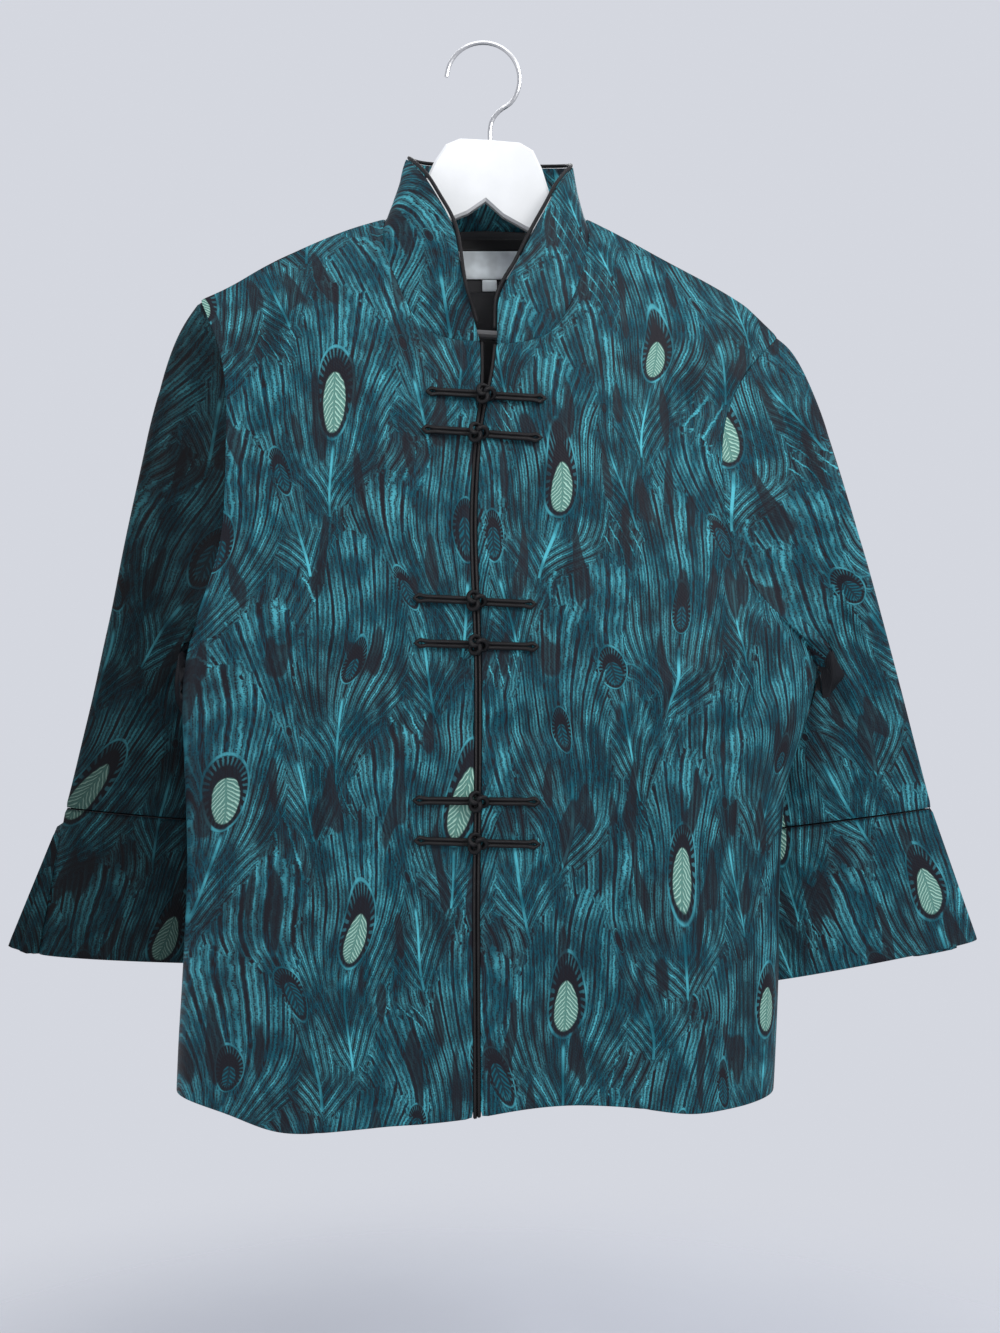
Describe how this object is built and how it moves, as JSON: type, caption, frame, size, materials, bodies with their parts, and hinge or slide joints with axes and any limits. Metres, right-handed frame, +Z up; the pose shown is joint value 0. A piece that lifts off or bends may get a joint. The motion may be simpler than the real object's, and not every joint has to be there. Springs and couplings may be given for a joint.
{
  "type": "tang jacket on a hanger",
  "caption": "Tang jacket in peacock-feather brocade with a stand collar, cord frogs and flared cuffs, hung on a flat hanger.",
  "frame": {"origin": "inside top of the hanger's hook, where it hangs", "axes": "+Z up, -Y towards the jacket's front, +X towards the wearer's left sleeve (the viewer's right)"},
  "size_m": [0.801, 0.1596, 0.8513],
  "materials": {
    "brocade": "satin",
    "black_satin": "satin",
    "lining": "satin",
    "label": "matte",
    "white_wood": "satin",
    "steel": "polished"
  },
  "bodies": {
    "root": {"back": "brocade", "back_lining": "lining", "collar": "brocade", "cuff_left": "brocade", "cuff_left_pleat_1": "brocade", "cuff_left_pleat_2": "brocade", "cuff_right": "brocade", "cuff_right_pleat_1": "brocade", "cuff_right_pleat_2": "brocade", "frog_1_knot": "black_satin", "frog_1_left": "black_satin", "frog_1_right": "black_satin", "frog_2_knot": "black_satin", "frog_2_left": "black_satin", "frog_2_right": "black_satin", "frog_3_knot": "black_satin", "frog_3_left": "black_satin", "frog_3_right": "black_satin", "frog_4_knot": "black_satin", "frog_4_left": "black_satin", "frog_4_right": "black_satin", "frog_5_knot": "black_satin", "frog_5_left": "black_satin", "frog_5_right": "black_satin", "frog_6_knot": "black_satin", "frog_6_left": "black_satin", "frog_6_right": "black_satin", "front_left": "brocade", "front_right": "brocade", "hanger_bar": "steel", "hanger_body": "white_wood", "hanger_hook": "steel", "label": "label", "neck_facing": "black_satin", "piping_collar": "black_satin", "piping_left": "black_satin", "piping_right": "black_satin", "size_tab": "label", "sleeve_left": "brocade", "sleeve_right": "brocade"}
  },
  "joints": []
}
